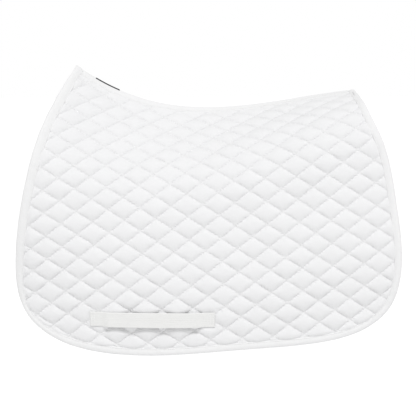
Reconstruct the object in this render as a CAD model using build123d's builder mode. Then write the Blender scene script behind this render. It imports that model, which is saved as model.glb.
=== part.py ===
import os
from math import cos, radians, sin

from build123d import *

# A quilted saddle pad as it hangs over a horse's back, in millimetres.
# +X runs towards the tail, +Z is up and the horse's left is -Y. The origin is on the
# underside of the spine, at its lowest point.

# ---- overall sizes -------------------------------------------------------------------
front_reach = 387.0          # foremost point of a side, ahead of the origin
rear_reach = 376.0           # rearmost point of a side, behind the origin
side_drop = 453.0            # lowest point of a side, below the origin
spine_front = 277.0          # withers end of the spine, ahead of the origin
spine_rear = 312.0           # cantle end of the spine, behind the origin
withers_rise = 90.0          # withers end of the spine, over its lowest point
cantle_rise = 36.0           # cantle end of the spine, over its lowest point

# ---- how the cloth hangs, with slopes in degrees from the vertical ---------------------
withers_slope = 41.5         # beside the withers end of the spine
cantle_slope = 79.5          # beside the cantle end of the spine
back_run = 131.0             # straight run from the spine to the shoulder bend, at x = 0
shoulder_length = 131.0      # length of the bend from the back to the flank
flank_slope = 12.5           # of the flank below the shoulder bend
flank_run = 82.0             # straight run of the flank, at x = 0
run_shift = 0.17             # what each mm towards the tail moves from back to flank run
belly_length = 150.0         # length of the last gentle bend, which ends upright

# ---- the layers, from the outside in ---------------------------------------------------
cover_thickness = 1.2        # quilted cotton
wadding_thickness = 6.6      # polyester fleece
lining_thickness = 1.2       # cotton next to the horse
layer_gap = 0.5              # between pieces that are sewn together
seam_gap = 0.5               # between a side and the spine tapes, and from each side to y = 0

# ---- tapes, webbing and label ----------------------------------------------------------
tape_thickness = 1.2
binding_width = 16.0         # edge binding, on each face
spine_tape_width = 34.0      # across both sides of the spine
strap_length = 247.0
strap_width = 30.0
strap_thickness = 2.0
strap_rear = 5.0             # rear end of the girth strap, behind the origin
strap_top = -367.0           # upper edge of the girth strap
strap_sewn_end = 20.0        # stretch that lies flat and is sewn down
strap_ramp = 16.0            # stretch that rises from the cover
girth_gap = 8.0              # between cover and webbing, where the girth passes
label_length = 49.0
label_front = 235.0          # front end of the label, ahead of the origin
label_near = 2.0             # reach of the label over the spine to the left
label_far = 9.0              # and to the right
label_thickness = 0.8

# ---- stitching -------------------------------------------------------------------------
thread = 0.6                 # width of a thread as it lies on the cloth
thread_height = 0.4
stitch_length = 3.0
stitch_pitch = 3.6
seam_margin = 2.6            # from the edge of a tape to its row of stitches
row_spacing = 6.0            # between the two rows at each end of the girth strap
bartack_length = 22.0
bartack_width = 3.0
bartack_from_edge = 7.0      # from the rim of the pad to the bartack

# ---- worked out ------------------------------------------------------------------------
pad_thickness = cover_thickness + wadding_thickness + lining_thickness + 2 * layer_gap
wrap = tape_thickness + layer_gap
slope_gain = (cantle_slope - withers_slope) / (spine_front + spine_rear)
station_count = 7            # sections that a sheet is lofted through
spare = 15.0                 # what the sheets are made too long, before they are cut out
sky = withers_rise + 60.0    # height that every cut reaches


def evenly(front, rear):
    """Places along x, from just ahead of `front` to just behind `rear`."""
    step = (rear - front + 2 * spare) / (station_count - 1)
    return [front - spare + step * n for n in range(station_count)]


def spine_slope(x):
    """Slope of the cloth beside the spine, in degrees from the vertical."""
    return withers_slope + slope_gain * (x + spine_front)


def spine_height(x):
    """Height of the outer face where the two sides meet: a cubic, level at x = 0."""
    front, rear = -spine_front, spine_rear
    bend = (cantle_rise / rear**2 - withers_rise / front**2) / (rear - front)
    curve = withers_rise / front**2 - bend * front
    stack = (pad_thickness + seam_gap + tape_thickness) / sin(radians(spine_slope(0)))
    return stack + x * x * (curve + bend * x)


def back_point(x, along, lift):
    """Point on the straight run beside the spine, as (y, z): `lift` over the outer face."""
    slope = radians(spine_slope(x))
    y = -along * sin(slope) - lift * cos(slope)
    z = spine_height(x) - along * cos(slope) + lift * sin(slope)
    return (y, z)


def back_meets(x, lift, y):
    """Point where the straight run beside the spine crosses the upright plane at y."""
    slope = radians(spine_slope(x))
    return (y, spine_height(x) + (lift + y * cos(slope)) / sin(slope))


def drape_line(x, lift):
    """The left side's hang at x, from the spine to below the hem. Gives its two ends."""
    slope = spine_slope(x)
    back_turn = slope - flank_slope
    shoulder_radius = shoulder_length / radians(back_turn)
    belly_radius = belly_length / radians(flank_slope)
    start = back_meets(x, lift, -seam_gap)
    shoulder_top = back_point(x, back_run - run_shift * x, lift)
    downhill = (-sin(radians(slope)), -cos(radians(slope)))
    Line(start, shoulder_top)
    shoulder = JernArc(shoulder_top, downhill, shoulder_radius + lift, back_turn)
    flank = Line(shoulder @ 1, (shoulder @ 1) + (shoulder % 1) * (flank_run + run_shift * x))
    belly = JernArc(flank @ 1, flank % 1, belly_radius + lift, flank_slope)
    end = ((belly @ 1).X, -side_drop - spare)
    Line(belly @ 1, end)
    return start, end


def flank_reach(x, z):
    """How far from the centre plane the outer face is, low on the flank."""
    slope = spine_slope(x)
    back_turn = radians(slope - flank_slope)
    radius = shoulder_length / back_turn
    y, top = back_point(x, back_run - run_shift * x, 0)
    y -= radius * (cos(radians(flank_slope)) - cos(radians(slope)))
    top -= radius * (sin(radians(slope)) - sin(radians(flank_slope)))
    y -= (flank_run + run_shift * x) * sin(radians(flank_slope))
    top -= (flank_run + run_shift * x) * cos(radians(flank_slope))
    belly_radius = belly_length / radians(flank_slope)
    belly_end = top - belly_radius * sin(radians(flank_slope))
    y -= belly_radius * (1 - cos(radians(flank_slope)))
    above = max(0.0, z - belly_end)
    return -y - (belly_radius - (belly_radius**2 - above**2) ** 0.5)


# The rim of a side as seen from the horse's left: down the front edge from the withers,
# along the hem and up the rear edge to the cantle.
rim = Spline(
    (-spine_front, spine_height(-spine_front)),
    (-0.853 * front_reach, 0.005 * side_drop),
    (-0.94 * front_reach, -0.245 * side_drop),
    (-front_reach, -0.57 * side_drop),
    (-0.955 * front_reach, -0.83 * side_drop),
    (-0.835 * front_reach, -0.93 * side_drop),
    (-0.58 * front_reach, -side_drop),
    (0.15 * rear_reach, -0.987 * side_drop),
    (0.575 * rear_reach, -0.96 * side_drop),
    (0.79 * rear_reach, -0.914 * side_drop),
    (0.94 * rear_reach, -0.817 * side_drop),
    (rear_reach, -0.66 * side_drop),
    (0.975 * rear_reach, -0.36 * side_drop),
    (0.928 * rear_reach, -0.145 * side_drop),
    (0.894 * rear_reach, -0.062 * side_drop),
    (0.848 * rear_reach, 0.035 * side_drop),
    (spine_rear, spine_height(spine_rear)),
    tangents=[(-0.5, -0.86), (-0.12, 0.99)],
)
rim_steps = 48


def rim_point(share, inset):
    """Point at a share of the rim's length, moved in from it by `inset`."""
    along = rim % share
    return (rim @ share) + Vector(-along.Y, along.X) * inset


def side_outline(inset):
    """The cut of a side as seen from the horse's left, drawn in by `inset` all round."""
    start = rim_point(0, inset)
    end = rim_point(1, inset)
    with BuildSketch(Plane.XZ) as outline:
        with BuildLine():
            Spline(*[rim_point(n / rim_steps, inset) for n in range(rim_steps + 1)])
            over_start = start - (rim % 0) * (sky - start.Y)
            over_end = end + (rim % 1) * (sky - end.Y)
            Polyline(start, over_start, over_end, end)
        make_face()
    return outline.sketch


def draped_sheet(outer_lift, inner_lift, inset):
    """A sheet of the left side between two lifts over the outer face, cut to the outline."""
    with BuildPart() as sheet:
        for x in evenly(-front_reach, rear_reach):
            with BuildSketch(Plane.YZ.offset(x)):
                with BuildLine():
                    outer_start, outer_end = drape_line(x, outer_lift)
                    inner_start, inner_end = drape_line(x, inner_lift)
                    Line(outer_start, inner_start)
                    Line(outer_end, inner_end)
                make_face()
        loft()
        extrude(side_outline(inset), amount=2 * side_drop, mode=Mode.INTERSECT)
    return sheet.part


def spine_sheet(outer_lift, inner_lift, half_width, inset):
    """A strip folded over the spine, cut short of the rim by `inset`."""
    with BuildPart() as strip:
        for x in evenly(-spine_front, spine_rear):
            left_outer = back_point(x, half_width, outer_lift)
            left_inner = back_point(x, half_width, inner_lift)
            with BuildSketch(Plane.YZ.offset(x)):
                Polygon(
                    left_outer,
                    back_meets(x, outer_lift, 0),
                    (-left_outer[0], left_outer[1]),
                    (-left_inner[0], left_inner[1]),
                    back_meets(x, inner_lift, 0),
                    left_inner,
                    align=None,
                )
        loft()
        extrude(side_outline(inset), amount=side_drop, both=True, mode=Mode.INTERSECT)
    return strip.part


# ---- the quilted stack of the left side ------------------------------------------------
cover_lift = 0.0
wadding_lift = cover_lift - cover_thickness - layer_gap
lining_lift = wadding_lift - wadding_thickness - layer_gap
inside_lift = lining_lift - lining_thickness

with BuildPart() as left_outer_cover:
    add(draped_sheet(cover_lift, cover_lift - cover_thickness, wrap))
left_outer_cover.part.label = "left_outer_cover"

with BuildPart() as left_wadding:
    add(draped_sheet(wadding_lift, wadding_lift - wadding_thickness, wrap))
left_wadding.part.label = "left_wadding"

with BuildPart() as left_lining:
    add(draped_sheet(lining_lift, inside_lift, wrap))
left_lining.part.label = "left_lining"

# ---- edge binding, folded round the rim of the stack -----------------------------------
with BuildPart() as left_edge_binding:
    add(draped_sheet(cover_lift + wrap, inside_lift - wrap, 0))
    extrude(side_outline(binding_width), amount=2 * side_drop, mode=Mode.SUBTRACT)
    add(
        draped_sheet(cover_lift + layer_gap, inside_lift - layer_gap, tape_thickness),
        mode=Mode.SUBTRACT,
    )
left_edge_binding.part.label = "left_edge_binding"

# ---- bartacks that lock the ends of the binding beside the spine -----------------------
bartack_lift = cover_lift + wrap + layer_gap


def bartack(edge_x, towards_middle):
    """A close row of thread across the binding, beside one end of the spine."""
    middle_x = edge_x + towards_middle * (bartack_from_edge + bartack_width / 2)
    middle_y = -spine_tape_width / 2 - bartack_length / 2
    with BuildPart() as tack:
        add(draped_sheet(bartack_lift + thread_height, bartack_lift, 0))
        with BuildSketch(Plane.XY.offset(-side_drop)):
            with Locations((middle_x, middle_y)):
                RectangleRounded(bartack_width, bartack_length, 0.45 * bartack_width)
        extrude(amount=side_drop + sky, mode=Mode.INTERSECT)
    return tack.part


with BuildPart() as left_rear_bartack:
    add(bartack(spine_rear, -1))
left_rear_bartack.part.label = "left_rear_bartack"

# ---- girth strap: webbing sewn down at both ends ---------------------------------------
strap_front = strap_rear - strap_length


def strap_lift(x):
    """How far the inside of the webbing stands off the cover at x."""
    from_end = min(x - strap_front, strap_rear - x)
    share = min(1.0, max(0.0, (from_end - strap_sewn_end) / strap_ramp))
    return layer_gap + (girth_gap - layer_gap) * share * share * (3 - 2 * share)


def strap_face(lift):
    """A long side of the webbing seen from above, `lift` outside its inner face."""
    ramp_steps = [strap_sewn_end + strap_ramp * n / 4 for n in range(5)]
    from_front = [0, strap_sewn_end / 2] + ramp_steps + [strap_length / 3]
    places = from_front + [strap_length / 2] + [strap_length - d for d in reversed(from_front)]
    points = []
    for place in places:
        x = strap_front + place
        points.append((x, -flank_reach(x, strap_top - strap_width) - strap_lift(x) - lift))
    return Spline(*points)


with BuildPart() as left_girth_strap:
    with BuildSketch(Plane.XY.offset(strap_top)):
        with BuildLine():
            inner_face = strap_face(0)
            outer_face = strap_face(strap_thickness)
            Line(inner_face @ 0, outer_face @ 0)
            Line(inner_face @ 1, outer_face @ 1)
        make_face()
    extrude(amount=-strap_width)
left_girth_strap.part.label = "left_girth_strap"


def strap_stitching(end_x, towards_middle):
    """Two upright rows of stitches through one sewn end of the girth strap."""
    rows = [seam_margin + thread, seam_margin + thread + row_spacing]
    in_a_row = int((strap_width - 2 * seam_margin) // stitch_pitch)
    middle = strap_top - strap_width / 2
    with BuildPart() as stitches:
        for row in rows:
            x = end_x + towards_middle * row
            face = -flank_reach(x, strap_top - strap_width) - strap_thickness - 2 * layer_gap
            for n in range(in_a_row):
                z = middle + (n - (in_a_row - 1) / 2) * stitch_pitch
                with Locations((x, face - thread_height / 2, z)):
                    Box(thread, thread_height, stitch_length)
    return stitches.part


with BuildPart() as left_strap_front_stitching:
    add(strap_stitching(strap_front, 1))
left_strap_front_stitching.part.label = "left_strap_front_stitching"

with BuildPart() as left_strap_rear_stitching:
    add(strap_stitching(strap_rear, -1))
left_strap_rear_stitching.part.label = "left_strap_rear_stitching"

# ---- the right side mirrors the left ---------------------------------------------------
left_pieces = [
    left_outer_cover,
    left_wadding,
    left_lining,
    left_edge_binding,
    left_rear_bartack,
    left_girth_strap,
    left_strap_front_stitching,
    left_strap_rear_stitching,
]
os.makedirs("parts", exist_ok=True)
for left_piece in left_pieces:
    with BuildPart() as right_piece:
        mirror(left_piece.part, about=Plane.XZ)
    right_piece.part.label = left_piece.part.label.replace("left", "right")
    export_step(left_piece.part, f"parts/{left_piece.part.label}.step")
    export_step(right_piece.part, f"parts/{right_piece.part.label}.step")

# ---- tapes along the spine, outside and inside ------------------------------------------
half_tape = spine_tape_width / 2
tape_end = binding_width + seam_gap
tape_lift = cover_lift + seam_gap + tape_thickness

with BuildPart() as spine_outer_tape:
    add(spine_sheet(tape_lift, cover_lift + seam_gap, half_tape, tape_end))
spine_outer_tape.part.label = "spine_outer_tape"
export_step(spine_outer_tape.part, "parts/spine_outer_tape.step")

with BuildPart() as spine_inner_tape:
    under_lift = inside_lift - seam_gap
    add(spine_sheet(under_lift, under_lift - tape_thickness, half_tape, tape_end))
spine_inner_tape.part.label = "spine_inner_tape"
export_step(spine_inner_tape.part, "parts/spine_inner_tape.step")

# ---- two rows of stitching along the outer tape ----------------------------------------
with BuildPart() as spine_tape_stitching:
    stitch_lift = tape_lift + layer_gap
    row = half_tape - seam_margin
    add(spine_sheet(stitch_lift + thread_height, stitch_lift, row + thread / 2, tape_end))
    add(
        spine_sheet(stitch_lift + 2 * thread_height, tape_lift, row - thread / 2, 0),
        mode=Mode.SUBTRACT,
    )
spine_tape_stitching.part.label = "spine_tape_stitching"
export_step(spine_tape_stitching.part, "parts/spine_tape_stitching.step")

# ---- a plain woven label, sewn over the spine near the withers -------------------------
with BuildPart() as withers_label:
    label_lift = tape_lift + layer_gap
    add(spine_sheet(label_lift + label_thickness, label_lift, 2 * label_far, tape_end))
    with BuildSketch(Plane.XY):
        with Locations((label_length / 2 - label_front, (label_far - label_near) / 2)):
            Rectangle(label_length, label_near + label_far)
    extrude(amount=sky, both=True, mode=Mode.INTERSECT)
withers_label.part.label = "withers_label"
export_step(withers_label.part, "parts/withers_label.step")
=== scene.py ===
import math

import bmesh
import bpy
import numpy as np
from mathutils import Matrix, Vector, noise


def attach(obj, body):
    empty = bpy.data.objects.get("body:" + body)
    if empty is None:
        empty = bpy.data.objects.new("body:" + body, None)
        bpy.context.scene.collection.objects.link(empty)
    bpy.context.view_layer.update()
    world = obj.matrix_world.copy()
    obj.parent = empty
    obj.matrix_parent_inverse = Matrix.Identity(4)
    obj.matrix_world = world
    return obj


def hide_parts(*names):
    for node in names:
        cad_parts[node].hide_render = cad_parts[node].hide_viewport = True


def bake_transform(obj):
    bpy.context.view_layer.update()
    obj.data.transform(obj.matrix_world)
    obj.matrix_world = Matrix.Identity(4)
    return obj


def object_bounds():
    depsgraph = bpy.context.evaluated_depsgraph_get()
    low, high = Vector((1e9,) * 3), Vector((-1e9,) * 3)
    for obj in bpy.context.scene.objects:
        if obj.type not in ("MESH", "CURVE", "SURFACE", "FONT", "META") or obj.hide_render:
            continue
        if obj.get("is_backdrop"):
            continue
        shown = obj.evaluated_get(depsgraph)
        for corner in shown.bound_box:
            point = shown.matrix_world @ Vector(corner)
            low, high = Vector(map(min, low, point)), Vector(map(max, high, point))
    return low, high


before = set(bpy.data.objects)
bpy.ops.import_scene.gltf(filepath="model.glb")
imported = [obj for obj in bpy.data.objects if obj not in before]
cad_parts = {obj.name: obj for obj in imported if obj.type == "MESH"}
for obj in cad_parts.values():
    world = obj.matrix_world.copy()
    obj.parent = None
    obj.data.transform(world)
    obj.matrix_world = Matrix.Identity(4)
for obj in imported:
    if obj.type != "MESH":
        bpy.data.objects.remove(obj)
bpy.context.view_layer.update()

# ---- The two quilted sides ---------------------------------------------------------------
# Each side is white cotton, wadding and a cotton lining, laid flat on the cutting table and
# stitched through in diamonds. It is then cut out and hung over the horse's back, where the
# two sides meet along the spine.
spine_front, spine_rear = 0.277, 0.312
withers_rise, cantle_rise = 0.090, 0.036
withers_slope, cantle_slope = 41.5, 79.5
back_run, shoulder_length, flank_run, belly_length = 0.131, 0.131, 0.082, 0.150
run_shift = 0.17
flank_slope = math.radians(12.5)
spine_stack = 0.0136
pad_thickness = 0.010
side_drop = 0.453


def spine_slope(x):
    """Slope of the cloth beside the spine, from the vertical."""
    gain = (cantle_slope - withers_slope) * (x + spine_front) / (spine_front + spine_rear)
    return np.radians(withers_slope + gain)


def spine_height(x):
    """Height of the outer face where the two sides meet."""
    bend = cantle_rise / spine_rear**2 - withers_rise / spine_front**2
    bend /= spine_rear + spine_front
    curve = withers_rise / spine_front**2 + bend * spine_front
    return spine_stack + x * x * (curve + bend * x)


def hang(x, down, lift, side):
    """Where cloth at x lies, `down` from the spine and `lift` off the outer face."""
    x, down, lift = (np.asarray(v, dtype=float) for v in np.broadcast_arrays(x, down, lift))
    slope, flank = spine_slope(x), flank_slope
    mitre = (0.0003 - lift * np.cos(slope)) / np.sin(slope)
    down = down + mitre * np.clip(1 - down / 0.06, 0, 1)
    back, shoulder = back_run - run_shift * x, shoulder_length
    ribs, belly = flank_run + run_shift * x, belly_length
    run = np.minimum(down, back)
    y, z = -run * np.sin(slope), spine_height(x) - run * np.cos(slope)
    radius = shoulder / (slope - flank)
    turned = slope - np.clip(down - back, 0, shoulder) / radius
    y = y + radius * (np.cos(slope) - np.cos(turned))
    z = z + radius * (np.sin(turned) - np.sin(slope))
    run = np.clip(down - back - shoulder, 0, ribs)
    y, z = y - run * math.sin(flank), z - run * math.cos(flank)
    run = np.clip(down - back - shoulder - ribs, 0, belly)
    radius = belly / flank
    lean = flank - run / radius
    y = y + radius * (math.cos(flank) - np.cos(lean))
    z = z + radius * (np.sin(lean) - math.sin(flank))
    z = z - np.maximum(down - back - shoulder - ribs - belly, 0)
    turned = turned - run / radius
    y, z = y - lift * np.cos(turned), z + lift * np.sin(turned)
    return np.stack([x, -side * y, z], axis=-1)


def down_to(x, z):
    """How far down the cloth the height z is reached."""
    x, z = np.broadcast_arrays(np.asarray(x, dtype=float), np.asarray(z, dtype=float))
    low, high = np.zeros(x.shape), np.full(x.shape, 0.7)
    for _ in range(36):
        middle = (low + high) / 2
        above = hang(x, middle, 0, 1)[..., 2] > z
        low, high = np.where(above, middle, low), np.where(above, high, middle)
    return (low + high) / 2


def smooth_curve(points, first_way, last_way, count):
    """A smooth curve through the points that starts and ends in the given directions."""
    points = np.array(points, dtype=float)
    span = np.linalg.norm(np.diff(points, axis=0), axis=1)
    rise = np.diff(points, axis=0) / span[:, None]
    n = len(points)
    left, right = np.eye(n), np.zeros((n, 2))
    right[0], right[-1] = first_way, last_way
    for k in range(1, n - 1):
        left[k, k - 1:k + 2] = 1 / span[k - 1], 2 / span[k - 1] + 2 / span[k], 1 / span[k]
        right[k] = 3 * (rise[k - 1] / span[k - 1] + rise[k] / span[k])
    way = np.linalg.solve(left, right)
    at = np.concatenate([[0], np.cumsum(span)])
    where = np.linspace(0, at[-1], count)
    k = np.clip(np.searchsorted(at, where, side="right") - 1, 0, n - 2)
    t, h = ((where - at[k]) / span[k])[:, None], span[k][:, None]
    return ((1 + 2 * t) * (1 - t)**2 * points[k] + t * (1 - t)**2 * h * way[k]
            + t * t * (3 - 2 * t) * points[k + 1] + t * t * (t - 1) * h * way[k + 1])


front_reach, rear_reach = 0.387, 0.376
rim_line = smooth_curve(
    [(-spine_front, spine_height(-spine_front)), (-0.853 * front_reach, 0.005 * side_drop),
     (-0.94 * front_reach, -0.245 * side_drop), (-front_reach, -0.57 * side_drop),
     (-0.955 * front_reach, -0.83 * side_drop), (-0.835 * front_reach, -0.93 * side_drop),
     (-0.58 * front_reach, -side_drop), (0.15 * rear_reach, -0.987 * side_drop),
     (0.575 * rear_reach, -0.96 * side_drop), (0.79 * rear_reach, -0.914 * side_drop),
     (0.94 * rear_reach, -0.817 * side_drop), (rear_reach, -0.66 * side_drop),
     (0.975 * rear_reach, -0.36 * side_drop), (0.928 * rear_reach, -0.145 * side_drop),
     (0.894 * rear_reach, -0.062 * side_drop), (0.848 * rear_reach, 0.035 * side_drop),
     (spine_rear, spine_height(spine_rear))],
    (-0.5, -0.86), (-0.12, 0.99), 900)
rim_flat = np.stack([rim_line[:, 0], down_to(rim_line[:, 0], rim_line[:, 1])], axis=1)
rim_flat[0, 1] = rim_flat[-1, 1] = 0


def evenly_spaced(line, step):
    """The line's points spaced `step` apart, with the inward way at each."""
    length = np.concatenate([[0], np.cumsum(np.linalg.norm(np.diff(line, axis=0), axis=1))])
    at = np.linspace(0, length[-1], int(round(length[-1] / step)) + 1)
    even = np.stack([np.interp(at, length, line[:, k]) for k in (0, 1)], axis=1)
    along = np.gradient(even, axis=0)
    along /= np.linalg.norm(along, axis=1)[:, None]
    return even, np.stack([along[:, 1], -along[:, 0]], axis=1)


rim_even, rim_inward = evenly_spaced(rim_flat, 0.003)


def inside_rim(flat):
    """Distance in from the rim, below zero outside it. The spine isn't rim."""
    found = np.empty(len(flat))
    for first in range(0, len(flat), 4000):
        part = flat[first:first + 4000]
        gap = part[:, None, :] - rim_even[None, :, :]
        near = np.argmin((gap**2).sum(axis=2), axis=1)
        here = part - rim_even[near]
        found[first:first + 4000] = (here * rim_inward[near]).sum(axis=1)
    return found


diamond_width, diamond_height, quilt_turn = 0.06224, 0.04512, math.radians(3.03)
quilt_x, quilt_z = 0.0818, -0.2692
quilt_level = 0.345


def quilt_base(x):
    """Turns a distance down the cloth at x into a height on the quilting lines' own plan."""
    return hang(x, quilt_level, 0, 1)[..., 2] / math.cos(flank_slope) + quilt_level


def to_quilt(flat):
    """Cloth place to the count of seams passed each way: whole numbers are on a seam."""
    right, up = flat[:, 0] - quilt_x, quilt_base(flat[:, 0]) - flat[:, 1] - quilt_z
    a = (right * math.cos(quilt_turn) + up * math.sin(quilt_turn)) / (diamond_width / 2)
    b = (up * math.cos(quilt_turn) - right * math.sin(quilt_turn)) / (diamond_height / 2)
    return np.stack([(a + b) / 2, (a - b) / 2], axis=1)


def from_quilt(count):
    """The cloth place of a count of seams."""
    a = (count[:, 0] + count[:, 1]) * diamond_width / 2
    b = (count[:, 0] - count[:, 1]) * diamond_height / 2
    x = quilt_x + a * math.cos(quilt_turn) - b * math.sin(quilt_turn)
    up = quilt_z + a * math.sin(quilt_turn) + b * math.cos(quilt_turn)
    return np.stack([x, quilt_base(x) - up], axis=1)


def ease(value, low, high):
    """Goes smoothly from 0 at low to 1 at high."""
    t = np.clip((value - low) / (high - low), 0, 1)
    return t * t * (3 - 2 * t)


strap_rear, strap_length, strap_width = 0.005, 0.247, 0.030
strap_front = strap_rear - strap_length
strap_top = -0.367
strap_sewn_end = 0.020
seam_sink, outer_crown = 0.0019, 0.0035
lining_sink, lining_crown = 0.0009, 0.0015
pleat_height = 0.00108
wrap = 0.0017


def unevenness(places, size, seed):
    """Gentle hand-made unevenness, from -1 to 1, that changes over `size`."""
    return np.array([noise.noise(Vector((x / size, y / size, seed))) for x, y in places])


def off_sewn_ends(flat, side):
    """Distance out from the two sewn ends of the strap, below zero on them."""
    x, z = flat[:, 0], hang(flat[:, 0], flat[:, 1], 0, side)[:, 2]
    off = np.minimum(np.abs(x - strap_front - strap_sewn_end / 2),
                     np.abs(x - strap_rear + strap_sewn_end / 2)) - strap_sewn_end / 2
    return np.maximum(off, np.abs(z - strap_top + strap_width / 2) - strap_width / 2)


def puff(flat, side):
    """How full the wadding stands at each place: 0 on a seam and up to 1 mid-diamond."""
    count = to_quilt(flat)
    part = count - np.floor(count)
    bulge = 1 - np.abs(2 * part - 1)**2.6
    cell = np.floor(count).astype(int)
    fullness = 0.89 + 0.11 * np.sin(cell[:, 0] * 12.9 + cell[:, 1] * 78.2 + side)
    full = (bulge[:, 0] * bulge[:, 1])**0.85 * fullness
    full *= 0.10 + 0.90 * ease(inside_rim(flat), 0.0115, 0.0205)
    full *= 0.35 + 0.65 * ease(flat[:, 1], 0.014, 0.034)
    free = ease(off_sewn_ends(flat, side), -0.001, 0.009)
    return full * free + 0.28 * (1 - free)


def quilt_lift(flat, full, under, side):
    """How far the quilted face stands off, outside or under."""
    sway = (unevenness(flat, 0.11, 3.7 + side) * 0.0011
            + unevenness(flat, 0.045, 9.1 + side) * 0.0004)
    sway *= ease(inside_rim(flat), 0.018, 0.06) * ease(flat[:, 1], 0.02, 0.08)
    pleats = unevenness(to_quilt(flat), 0.17, 5.3 + side) * np.where(under, -1, 1)
    sway += pleat_height * pleats * full * (1.15 - full)
    sink = seam_sink * (0.15 + 0.85 * ease(flat[:, 1], 0.013, 0.030))
    outer = -sink + (sink + outer_crown) * full
    inner = -pad_thickness + lining_sink - (lining_sink + lining_crown) * full
    return np.where(under, inner, outer) + sway


def new_piece(name, bm, materials):
    """Makes the finished object, lying where it belongs."""
    mesh = bpy.data.meshes.new(name)
    bm.to_mesh(mesh)
    bm.free()
    for material in materials:
        mesh.materials.append(material)
    piece = bpy.data.objects.new(name, mesh)
    bpy.context.scene.collection.objects.link(piece)
    return piece


def move_to(bm, places):
    """Puts every point of the mesh where `places` says."""
    for vert, place in zip(bm.verts, places):
        vert.co = place


class Finish:
    """A material built node by node."""

    def __init__(self, name, colour, roughness):
        self.material = bpy.data.materials.new(name)
        self.material.use_nodes = True
        self.nodes = self.material.node_tree.nodes
        self.links = self.material.node_tree.links
        self.shader = self.nodes["Principled BSDF"]
        self.shader.inputs["Base Color"].default_value = (*colour, 1)
        self.shader.inputs["Roughness"].default_value = roughness
        self.colour = colour

    def put(self, kind, inputs=(), **settings):
        node = self.nodes.new(kind)
        for key, value in settings.items():
            setattr(node, key, value)
        for key, value in dict(inputs).items():
            if isinstance(value, bpy.types.NodeSocket):
                self.links.new(value, node.inputs[key])
            else:
                node.inputs[key].default_value = value
        return node

    def sums(self, operation, a, b=0.5, c=0.5):
        return self.put("ShaderNodeMath", {0: a, 1: b, 2: c}, operation=operation).outputs[0]

    def mottle(self, scale, depth, place):
        """Soft lighter and darker patches in the cloth's colour."""
        cloud = self.put("ShaderNodeTexNoise", {"Vector": place, "Scale": scale, "Detail": 4.0})
        low = tuple(c * (1 - depth) for c in self.colour)
        tones = {0: cloud.outputs["Fac"], 6: (*low, 1), 7: (*self.colour, 1)}
        ramp = self.put("ShaderNodeMix", tones, data_type="RGBA")
        self.links.new(ramp.outputs[2], self.shader.inputs["Base Color"])

    def weave(self, place, spacing, across=None):
        """Height of a plain weave whose threads are `spacing` apart."""
        threads = []
        for direction, gap in (("X", spacing), ("Y", across or spacing)):
            wave = self.put("ShaderNodeTexWave", {"Vector": place, "Scale": math.pi / (10 * gap),
                            "Distortion": 0.4, "Detail": 1.0}, bands_direction=direction)
            threads.append(wave.outputs["Fac"])
        return self.sums("MULTIPLY", threads[0], threads[1])

    def bump(self, height, distance, strength=1.0, under=None):
        inputs = {"Height": height, "Distance": distance, "Strength": strength}
        if under:
            inputs["Normal"] = under.outputs[0]
        node = self.put("ShaderNodeBump", inputs)
        self.links.new(node.outputs[0], self.shader.inputs["Normal"])
        return node


def quilted_cloth(name, colour, weave_depth):
    """Cotton drawn in along the quilting seams, with small puckers across them."""
    cloth = Finish(name, colour, 0.88)
    cloth.shader.inputs["Sheen Weight"].default_value = 0.12
    cloth.shader.inputs["Sheen Roughness"].default_value = 0.55
    cloth.shader.inputs["Specular IOR Level"].default_value = 0.25
    flat = cloth.put("ShaderNodeUVMap", uv_map="cloth").outputs[0]
    count = cloth.put("ShaderNodeUVMap", uv_map="quilt").outputs[0]
    cloth.mottle(14.0, 0.035, flat)
    ways = cloth.put("ShaderNodeSeparateXYZ", {0: count})
    drawn = []
    for here, other in ((0, 1), (1, 0)):
        off = cloth.sums("PINGPONG", ways.outputs[here], 0.5)
        near = cloth.put("ShaderNodeMapRange", {0: off, 1: 0.0, 2: 0.17, 3: 1.0, 4: 0.0},
                         interpolation_type="SMOOTHSTEP").outputs[0]
        wander = cloth.put("ShaderNodeTexNoise", {"Vector": count, "Scale": 2.3, "Detail": 2.0})
        along = cloth.sums("MULTIPLY_ADD", ways.outputs[other], 30.0,
                           cloth.sums("MULTIPLY", wander.outputs["Fac"], 22.0))
        pleat = cloth.sums("SINE", along)
        drawn.append(cloth.sums("MULTIPLY", near, pleat))
    puckers = cloth.sums("ADD", drawn[0], drawn[1])
    slack = cloth.put("ShaderNodeTexNoise", {"Vector": flat, "Scale": 90.0, "Detail": 3.0,
                                             "Distortion": 0.6}).outputs["Fac"]
    soft = cloth.bump(slack, 0.0011, 0.55)
    gathered = cloth.bump(puckers, 0.00035, 0.8, soft)
    cloth.bump(cloth.weave(flat, 0.0011), weave_depth, 0.5, gathered)
    return cloth.material


cover_cotton = quilted_cloth("quilted cotton", (0.822, 0.822, 0.829), 0.00018)
lining_cotton = quilted_cloth("lining cotton", (0.805, 0.805, 0.800), 0.00022)

rows_in_diamond = np.array([0.0, 0.035, 0.08, 0.15, 0.235, 0.33, 0.44,
                            0.56, 0.67, 0.765, 0.85, 0.92, 0.965])


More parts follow.
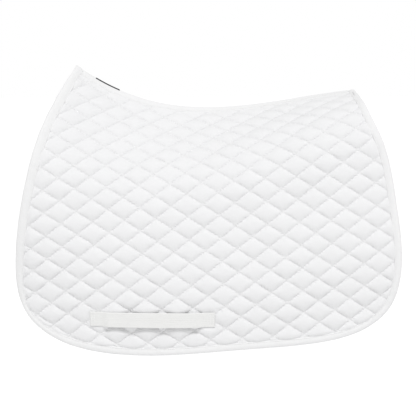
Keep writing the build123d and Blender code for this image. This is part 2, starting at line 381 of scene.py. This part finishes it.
def flat_quilt():
    """The side on the cutting table: the quilting's own grid, cut out along rim and spine."""
    reach = to_quilt(rim_flat)
    low, high = np.floor(reach.min(axis=0)).astype(int), np.ceil(reach.max(axis=0)).astype(int)
    rows = [np.concatenate([(rows_in_diamond + k) for k in range(low[w], high[w])]) for w in (0, 1)]
    bm = bmesh.new()
    bmesh.ops.create_grid(bm, x_segments=len(rows[0]) - 1, y_segments=len(rows[1]) - 1, size=0.5)
    grid = np.array([v.co[:2] for v in bm.verts]) + 0.5
    col = np.rint(grid[:, 0] * (len(rows[0]) - 1)).astype(int)
    row = np.rint(grid[:, 1] * (len(rows[1]) - 1)).astype(int)
    count = np.stack([rows[0][col], rows[1][row]], axis=1)
    flat = from_quilt(count)
    keep = (inside_rim(flat) > wrap + 0.001) & (flat[:, 1] > 0.001)
    move_to(bm, np.column_stack([flat, np.zeros(len(flat))]))
    verts = list(bm.verts)
    bmesh.ops.delete(bm, geom=[v for v, k in zip(verts, keep) if not k], context="VERTS")
    loose = [v for v in bm.verts if not v.link_faces]
    bmesh.ops.delete(bm, geom=loose, context="VERTS")
    edge = rim_even + rim_inward * wrap
    for vert in [v for v in bm.verts if v.is_boundary]:
        here = np.array(vert.co[:2])
        near = edge[np.argmin(((edge - here)**2).sum(axis=1))]
        if here[1] < np.linalg.norm(near - here):
            near = np.array([here[0], 0.0])
        vert.co = (*near, 0)
    return bm


def quilted_side(side, name):
    """The padded side: both cloths, drawn in along the seams and hung over the back."""
    bm = flat_quilt()
    bmesh.ops.solidify(bm, geom=bm.faces[:] + bm.edges[:] + bm.verts[:], thickness=0.1)
    table = np.array([v.co for v in bm.verts])
    flat, height = table[:, :2], table[:, 2]
    under = np.abs(height) > 0.05
    count = to_quilt(flat)
    plan = bm.loops.layers.uv.new("cloth")
    seams = bm.loops.layers.uv.new("quilt")
    bm.verts.index_update()
    for face in bm.faces:
        for loop in face.loops:
            k = loop.vert.index
            loop[plan].uv = flat[k]
            loop[seams].uv = count[k]
        face.smooth = True
        face.material_index = int(sum(under[v.index] for v in face.verts) > 2)
    lift = quilt_lift(flat, puff(flat, side), under, side)
    move_to(bm, hang(flat[:, 0], flat[:, 1], lift, side))
    bmesh.ops.recalc_face_normals(bm, faces=bm.faces[:])
    piece = new_piece(name + "_quilted_side", bm, [cover_cotton, lining_cotton])
    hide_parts(name + "_outer_cover", name + "_wadding", name + "_lining")
    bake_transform(piece)


sides = ((-1, "left"), (1, "right"))
for side, name in sides:
    quilted_side(side, name)

# ---- Quilting thread ----------------------------------------------------------------------
# White cotton thread, run by machine along every seam of the diamonds, so that it shows as
# short stitches in the grooves of both faces.
stitch_length, stitch_pitch, thread_width = 0.0029, 0.0036, 0.00048
thread = Finish("cotton thread", (0.85, 0.85, 0.85), 0.6)
thread.shader.inputs["Sheen Weight"].default_value = 0.2
thread.weave(thread.put("ShaderNodeTexCoord").outputs["Object"], 0.0004)


def unit(ways):
    return ways / np.linalg.norm(ways, axis=1)[:, None]


def stitches(name, places, ways, ups, length=stitch_length, width=thread_width):
    """One small spindle of thread at each place, lying along its way."""
    bm = bmesh.new()
    bmesh.ops.create_uvsphere(bm, u_segments=4, v_segments=2, radius=1)
    apart, made = 4, 1
    while made < len(places):
        copy = bmesh.ops.duplicate(bm, geom=bm.verts[:] + bm.edges[:] + bm.faces[:])["geom"]
        copy = [v for v in copy if isinstance(v, bmesh.types.BMVert)]
        bmesh.ops.translate(bm, verts=copy, vec=(apart * made, 0, 0))
        made *= 2
    spare = [v for v in bm.verts if v.co.x > apart * (len(places) - 0.5)]
    bmesh.ops.delete(bm, geom=spare, context="VERTS")
    spot = np.array([v.co for v in bm.verts])
    which = np.rint(spot[:, 0] / apart).astype(int)
    spindle = np.rint(spot - which[:, None] * (apart, 0, 0))
    ways, ups = unit(ways), unit(ups)
    across = np.cross(ups, ways)
    ways = unit(ways + 0.10 * across)
    move_to(bm, places[which] + spindle[:, :1] * ways[which] * length / 2
            + spindle[:, 1:2] * across[which] * width / 2
            + spindle[:, 2:] * ups[which] * width * 0.45)
    for face in bm.faces:
        face.smooth = True
    return new_piece(name, bm, [thread.material])


def on_cloth(flat, way, lift, side):
    """Places on the hung cloth with their directions along `way` and outwards."""
    small = 0.0005
    here = hang(flat[:, 0], flat[:, 1], lift, side)
    ahead = hang(flat[:, 0] + way[:, 0] * small, flat[:, 1] + way[:, 1] * small, lift, side)
    above = hang(flat[:, 0], flat[:, 1], lift + small, side)
    return here, ahead - here, above - here


def seam_places(side):
    """Where the quilting stitches lie on the cutting table, and which way each runs."""
    reach = to_quilt(rim_flat)
    low, high = np.floor(reach.min(axis=0)), np.ceil(reach.max(axis=0))
    flats, ways = [], []
    for here, other in ((0, 1), (1, 0)):
        for seam in np.arange(low[here], high[here] + 1):
            count = np.zeros((400, 2))
            count[:, here], count[:, other] = seam, np.linspace(low[other], high[other], 400)
            line, inward = evenly_spaced(from_quilt(count), stitch_pitch)
            flats.append(line)
            ways.append(np.stack([-inward[:, 1], inward[:, 0]], axis=1))
    flats, ways = np.concatenate(flats), np.concatenate(ways)
    shown = (inside_rim(flats) > 0.0165) & (flats[:, 1] > 0.0175)
    shown &= off_sewn_ends(flats, side) >= 0.004
    return flats[shown], ways[shown]


for side, name in sides:
    flat, way = seam_places(side)
    full = puff(flat, side)
    rows = []
    for under, rise in ((False, 0.00004), (True, -0.00004)):
        lift = quilt_lift(flat, full, np.full(len(flat), under), side) + rise
        rows.append(on_cloth(flat, way, lift, side))
    places, ways, ups = (np.concatenate(part) for part in zip(*rows))
    piece = stitches(name + "_quilting_thread", places, ways, ups)
    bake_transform(piece)

# ---- Edge binding -------------------------------------------------------------------------
# A strip of the same white cotton folded over the cut edge of each side and sewn through with
# one row of stitches near its inner fold, which draws it into small puckers.
tape_thickness = 0.0009
binding_row = 0.0134
binding_cotton = Finish("binding cotton", (0.828, 0.828, 0.831), 0.85)
binding_cotton.shader.inputs["Sheen Weight"].default_value = 0.12
binding_cotton.shader.inputs["Specular IOR Level"].default_value = 0.25
binding_flat = binding_cotton.put("ShaderNodeUVMap", uv_map="cloth").outputs[0]
binding_cotton.mottle(18.0, 0.03, binding_flat)
creases = binding_cotton.put("ShaderNodeMapping",
                             {"Vector": binding_flat, "Scale": (260.0, 60.0, 1.0)})
creases = binding_cotton.put("ShaderNodeTexNoise",
                             {"Vector": creases.outputs[0], "Scale": 1.0, "Detail": 3.0})
creased = binding_cotton.bump(creases.outputs["Fac"], 0.0009, 0.6)
binding_cotton.bump(binding_cotton.weave(binding_flat, 0.0010), 0.00015, 0.5, creased)


def strip(columns, rows):
    """A flat strip with two faces, and each point's place along, across and through it."""
    bm = bmesh.new()
    bmesh.ops.create_grid(bm, x_segments=columns, y_segments=rows, size=0.5)
    bmesh.ops.solidify(bm, geom=bm.faces[:] + bm.edges[:] + bm.verts[:], thickness=0.1)
    spot = np.array([v.co for v in bm.verts])
    return bm, spot[:, 0] + 0.5, spot[:, 1] + 0.5, np.abs(spot[:, 2]) > 0.05


def lay_out(bm, along, across):
    """Keeps the cloth's flat measure on the piece, for its weave."""
    plan = bm.loops.layers.uv.new("cloth")
    bm.verts.index_update()
    for face in bm.faces:
        face.smooth = True
        for loop in face.loops:
            loop[plan].uv = along[loop.vert.index], across[loop.vert.index]


run_on, rim_step = 0.024, 0.0028
first_way = unit(rim_even[:1] - rim_even[3:4])[0]
last_way = unit(rim_even[-1:] - rim_even[-4:-3])[0]
rim_long, rim_long_in = evenly_spaced(np.vstack([rim_even[0] + first_way * run_on, rim_even,
                                                 rim_even[-1] + last_way * run_on]), rim_step)
binding_section = np.array([
    (0.0160, -0.0016), (0.0157, -0.0005), (0.0149, 0.0005), (0.0134, 0.0002),
    (0.0118, 0.0008), (0.0090, 0.0015), (0.0060, 0.0015), (0.0032, 0.0010),
    (0.0012, -0.0004), (0.0002, -0.0026), (0.0, -0.0050)])
under_section = binding_section[-2::-1] * (1, -1) - (0, pad_thickness)
binding_section = np.vstack([binding_section, under_section])
section_at = np.linspace(0, 1, len(binding_section))


def edge_binding(side, name):
    """The folded strip along the whole rim of a side, cut off at the spine."""
    columns = len(rim_long) - 1
    bm, along, across, inner = strip(columns, 40)
    station = np.rint(along * columns).astype(int)
    inset = np.interp(across, section_at, binding_section[:, 0])
    lift = np.interp(across, section_at, binding_section[:, 1])
    step = 0.01
    lean = np.stack([np.interp(across + step, section_at, part)
                     - np.interp(across - step, section_at, part)
                     for part in binding_section.T], axis=1)
    out = unit(np.stack([lean[:, 1], -lean[:, 0]], axis=1) + 1e-9)
    length = along * columns * rim_step
    drawn = np.array([noise.noise(Vector((a / 0.0052, b * 5, side)))
                      for a, b in zip(length, across)])
    slow = np.array([noise.noise(Vector((a / 0.03, 0.0, 7 + side))) for a in length])
    between = np.sin(math.pi * np.clip((binding_row - inset) / binding_row, 0, 1))
    shift = drawn * 0.00050 * between + slow * 0.0003 - inner * tape_thickness
    inset, lift = inset + out[:, 0] * shift, lift + out[:, 1] * shift
    flat = rim_long[station] + rim_long_in[station] * inset[:, None]
    lay_out(bm, length, across * 0.04)
    move_to(bm, hang(flat[:, 0], flat[:, 1], lift, side))
    cut = bmesh.ops.bisect_plane(bm, geom=bm.verts[:] + bm.edges[:] + bm.faces[:], dist=1e-6,
                                 plane_co=(0, side * 0.0003, 0), plane_no=(0, -side, 0),
                                 clear_outer=True)
    cut = [e for e in cut["geom_cut"] if isinstance(e, bmesh.types.BMEdge)]
    for end in (-1, 1):
        bmesh.ops.holes_fill(bm, edges=[e for e in cut if e.verts[0].co.x * end > 0], sides=0)
    bmesh.ops.recalc_face_normals(bm, faces=bm.faces[:])
    piece = new_piece(name + "_binding", bm, [binding_cotton.material])
    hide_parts(name + "_edge_binding")
    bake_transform(piece)


for side, name in sides:
    edge_binding(side, name)
    line, inward = evenly_spaced(rim_even, stitch_pitch)
    line = line + inward * binding_row
    shown = line[:, 1] > 0.001
    line, way = line[shown], np.stack([-inward[:, 1], inward[:, 0]], axis=1)[shown]
    rows = [on_cloth(line, way, lift, side) for lift in (0.0003, -pad_thickness - 0.0003)]
    places, ways, ups = (np.concatenate(part) for part in zip(*rows))
    piece = stitches(name + "_binding_thread", places, ways, ups)
    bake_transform(piece)

# ---- Bartacks -----------------------------------------------------------------------------
# Close bars of white thread, one on each side, that lock the binding's ends beside the spine at
# the rear.
bartack_x, bartack_near, bartack_long, bartack_wide = spine_rear - 0.0085, 0.017, 0.022, 0.003
for side, name in sides:
    across = np.arange(bartack_near, bartack_near + bartack_long, 0.00055)
    slope = float(spine_slope(bartack_x))
    flat = np.stack([np.full(len(across), bartack_x), across / math.sin(slope)], axis=1)
    way = np.tile([1.0, 0.0], (len(across), 1))
    piece = stitches(name + "_bartack", *on_cloth(flat, way, 0.0018, side),
                     length=bartack_wide, width=0.0009)
    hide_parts(name + "_rear_bartack")
    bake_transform(piece)

# ---- Spine tapes --------------------------------------------------------------------------
# Cotton tape laid over the seam where the two sides meet, one outside and one inside. A row of
# stitches along each edge goes through both.
half_tape, spine_margin = 0.017, 0.0026


def tape_ends(down):
    """Where the tape meets the binding at either end, at a distance down from the spine."""
    edge = rim_long + rim_long_in * 0.0157
    half = len(edge) // 2
    front, rear = edge[:half][:30], edge[half:][::-1][:30]
    return (np.interp(down, front[:, 1], front[:, 0]), np.interp(down, rear[:, 1], rear[:, 0]))


def over_spine(name, columns, rows, place, lift, material, rounding):
    """A strip folded over the spine. `place` gives x and the distance out to each side."""
    bm, along, across, inner = strip(columns, rows)
    x, out = place(along, across)
    lay_out(bm, x, out)
    left = hang(x, np.abs(out), lift(out, inner), -1)
    move_to(bm, np.where((out > 0)[:, None], left * (1, -1, 1), left))
    ridge = [v for v, o in zip(bm.verts, out) if abs(o) < rounding]
    for _ in range(4):
        bmesh.ops.smooth_vert(bm, verts=ridge, factor=0.5, use_axis_y=True, use_axis_z=True)
    bmesh.ops.recalc_face_normals(bm, faces=bm.faces[:])
    piece = new_piece(name, bm, [material])
    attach(piece, "spine")
    return piece


def tape_place(along, across):
    out = (across * 2 - 1) * half_tape
    front, rear = tape_ends(np.abs(out))
    return front + (rear - front) * along, out


def outer_tape_lift(out, inner):
    return 0.0014 - 0.0016 * ease(np.abs(out), half_tape - 0.0012, half_tape) - inner * 0.0011


def inner_tape_lift(out, inner):
    return -0.0104 + 0.0008 * ease(np.abs(out), half_tape - 0.0012, half_tape) - inner * 0.0011


for name, node, lift in (("spine_tape", "spine_outer_tape", outer_tape_lift),
                         ("spine_tape_inside", "spine_inner_tape", inner_tape_lift)):
    tape = over_spine(name, 220, 30, tape_place, lift, binding_cotton.material, 0.006)
    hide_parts(node)

down = half_tape - spine_margin
front, rear = (float(v) for v in tape_ends(down))
x = np.arange(front + 0.002, rear - 0.002, stitch_pitch)
flat = np.stack([x, np.full(len(x), down)], axis=1)
way = np.tile([1.0, 0.0], (len(x), 1))
rows = [on_cloth(flat, way, lift, side) for side in (-1, 1) for lift in (0.00155, -0.01165)]
places, ways, ups = (np.concatenate(part) for part in zip(*rows))
piece = stitches("spine_tape_thread", places, ways, ups)
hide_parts("spine_tape_stitching")
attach(piece, "spine")

# ---- Girth straps -------------------------------------------------------------------------
# Ribbed white cotton webbing, sewn down flat at both ends and left standing off the flank
# between them, so that the girth passes behind it.
strap_thickness, girth_gap, ramp = 0.0020, 0.0080, 0.018
ribs, rib_height = 8, 0.00030
webbing = Finish("cotton webbing", (0.822, 0.822, 0.813), 0.8)
webbing.shader.inputs["Sheen Weight"].default_value = 0.1
webbing.shader.inputs["Specular IOR Level"].default_value = 0.3
strap_flat = webbing.put("ShaderNodeUVMap", uv_map="cloth").outputs[0]
webbing.mottle(30.0, 0.05, strap_flat)
webbing.bump(webbing.weave(strap_flat, 0.0007, 0.0021), 0.00025, 0.5)


def flank_at_strap(x):
    """How far out the cover lies at the strap's lower edge."""
    down = down_to(x, np.full(len(x), strap_top - strap_width))
    return -hang(x, down, 0, -1)[:, 1]


def strap_stand_off(x, across):
    """How far the webbing's inner face stands off the cover."""
    from_end = np.minimum(x - strap_front, strap_rear - x)
    free = ease(from_end, strap_sewn_end, strap_sewn_end + ramp)
    bow = ease(from_end, strap_sewn_end, strap_length / 2)
    return 0.0001 + free * (girth_gap * 0.50 + girth_gap * 0.20 * across) + bow * 0.0014 * across


def girth_strap(side, name):
    """One length of ribbed webbing, flat at its ends and bowed between them."""
    bm, along, across, inner = strip(172, 42)
    x = strap_front + along * strap_length
    z = strap_top - across * strap_width
    edge = (ease(np.minimum(across, 1 - across), 0.0, 0.04)
            * ease(np.minimum(along, 1 - along), 0.0, 0.006))
    rib = np.abs(np.sin(across * math.pi * ribs))**0.6
    thick = strap_thickness * (0.55 + 0.45 * edge) + rib_height * (rib - 0.5) * edge
    off = flank_at_strap(x) + strap_stand_off(x, across)
    off += np.where(inner, strap_thickness - thick, thick)
    lay_out(bm, x, z)
    move_to(bm, np.stack([x, side * off, z], axis=1))
    bmesh.ops.recalc_face_normals(bm, faces=bm.faces[:])
    piece = new_piece(name + "_webbing", bm, [webbing.material])
    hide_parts(name + "_girth_strap")
    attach(piece, name + "_panel")


def strap_thread(side, name, end, x_end, inwards):
    """Two upright rows of stitches through a sewn end."""
    z = strap_top - 0.0026 - np.arange(0, strap_width - 0.005, 0.0031)
    spots = np.array([(x_end + inwards * row, h) for row in (0.0032, 0.0092) for h in z])
    off = flank_at_strap(spots[:, 0]) + strap_thickness + 0.0002
    places = np.stack([spots[:, 0], side * off, spots[:, 1]], axis=1)
    count = len(places)
    piece = stitches(f"{name}_strap_thread_{end}", places, np.tile([0.0, 0.0, 1.0], (count, 1)),
                     np.tile([0.0, float(side), 0.0], (count, 1)), length=0.0026, width=0.0008)
    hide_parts(f"{name}_strap_{end}_stitching")
    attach(piece, name + "_panel")


for side, name in sides:
    girth_strap(side, name)
    strap_thread(side, name, "front", strap_front, 1)
    strap_thread(side, name, "rear", strap_rear, -1)

# ---- Label --------------------------------------------------------------------------------
# A plain dark woven label with nothing on it, folded over the spine near the withers, so that
# only its near edge shows from the left.
label_front, label_length, label_near, label_far = 0.235, 0.049, 0.002, 0.009
label_weave = Finish("woven label", (0.030, 0.031, 0.036), 0.55)
label_weave.shader.inputs["Sheen Weight"].default_value = 0.2
label_flat = label_weave.put("ShaderNodeUVMap", uv_map="cloth").outputs[0]
label_weave.mottle(120.0, 0.3, label_flat)
label_weave.bump(label_weave.weave(label_flat, 0.0006), 0.00015, 0.8)


def label_place(along, across):
    x = -label_front + along * label_length
    return x, (across * (label_near + label_far) - label_near) / np.sin(spine_slope(x))


label = over_spine("label", 44, 24, label_place, lambda out, inner: 0.0023 - inner * 0.0007,
                   label_weave.material, 0.0026)
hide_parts("withers_label")

# ---- Floor, lights and camera -------------------------------------------------------------
# A pale studio floor far below, as the pad hangs at the height of a horse's back, with one
# broad light overhead and a white sky all round. The backdrop is plain white to the camera,
# and the sky that lights the pad is dimmer.
bm = bmesh.new()
bmesh.ops.create_grid(bm, x_segments=1, y_segments=1, size=14)
bmesh.ops.translate(bm, vec=(0, 0, -1.25), verts=bm.verts)
pale = Finish("pale floor", (0.92, 0.92, 0.92), 0.9)
pale.shader.inputs["Emission Color"].default_value = (1.0, 1.0, 1.0, 1)
pale.shader.inputs["Emission Strength"].default_value = 0.12
floor = new_piece("floor", bm, [pale.material])
floor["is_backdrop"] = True

world = bpy.data.worlds.new("studio")
bpy.context.scene.world = world
world.use_nodes = True
sky = world.node_tree.nodes["Background"]
sky.inputs["Color"].default_value = (1.0, 1.0, 1.0, 1)
sky.inputs["Strength"].default_value = 0.53
seen = world.node_tree.nodes.new("ShaderNodeBackground")
seen.inputs["Color"].default_value = (1.0, 1.0, 1.0, 1)
seen.inputs["Strength"].default_value = 1.0
ray = world.node_tree.nodes.new("ShaderNodeLightPath")
either = world.node_tree.nodes.new("ShaderNodeMixShader")
world.node_tree.links.new(ray.outputs["Is Camera Ray"], either.inputs[0])
world.node_tree.links.new(sky.outputs[0], either.inputs[1])
world.node_tree.links.new(seen.outputs[0], either.inputs[2])
world.node_tree.links.new(either.outputs[0], world.node_tree.nodes["World Output"].inputs[0])

sun = bpy.data.lights.new("overhead light", "SUN")
sun.energy, sun.angle = 1.85, math.radians(10)
high = bpy.data.objects.new("overhead light", sun)
high.rotation_euler = Vector((0.05, -0.455, 0.89)).to_track_quat("Z", "Y").to_euler()
bpy.context.scene.collection.objects.link(high)

camera_data = bpy.data.cameras.new("camera")
camera_data.sensor_width = 36
camera_data.lens = 79.7
camera = bpy.data.objects.new("camera", camera_data)
bpy.context.scene.collection.objects.link(camera)
turn, rise, away = math.radians(-2.1), math.radians(12.06), 1.842
aim = Vector((-0.006, -0.150, -0.1719))
towards = Vector((math.sin(turn) * math.cos(rise), -math.cos(turn) * math.cos(rise),
                  math.sin(rise)))
camera.location = aim + towards * away
camera.rotation_euler = towards.to_track_quat("Z", "Y").to_euler()
bpy.context.scene.camera = camera
bpy.context.scene.view_settings.view_transform = "Standard"

low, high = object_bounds()
